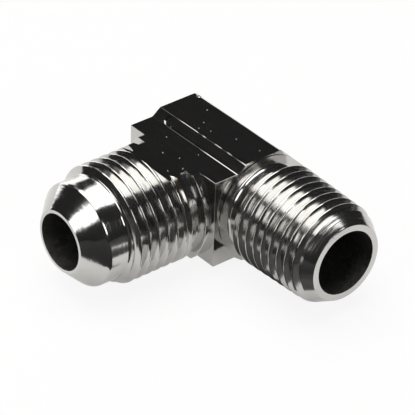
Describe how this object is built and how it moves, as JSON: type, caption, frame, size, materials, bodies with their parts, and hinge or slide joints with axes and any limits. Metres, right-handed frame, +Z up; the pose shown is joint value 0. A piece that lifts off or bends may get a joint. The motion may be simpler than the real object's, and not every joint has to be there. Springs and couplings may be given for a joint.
{
  "type": "flare elbow fitting",
  "caption": "Right-angle tube fitting with a 45 degree flare nose and straight thread on one arm and a taper pipe thread on the other.",
  "frame": {"origin": "where the axes of the two arms cross", "axes": "+X out along the taper pipe arm, -Y out along the flare arm, +Z up through the top wrench flat"},
  "size_m": [0.0327, 0.0321, 0.0158],
  "materials": {
    "plated_brass": "polished"
  },
  "bodies": {
    "root": {"elbow_body": "plated_brass"}
  },
  "joints": []
}
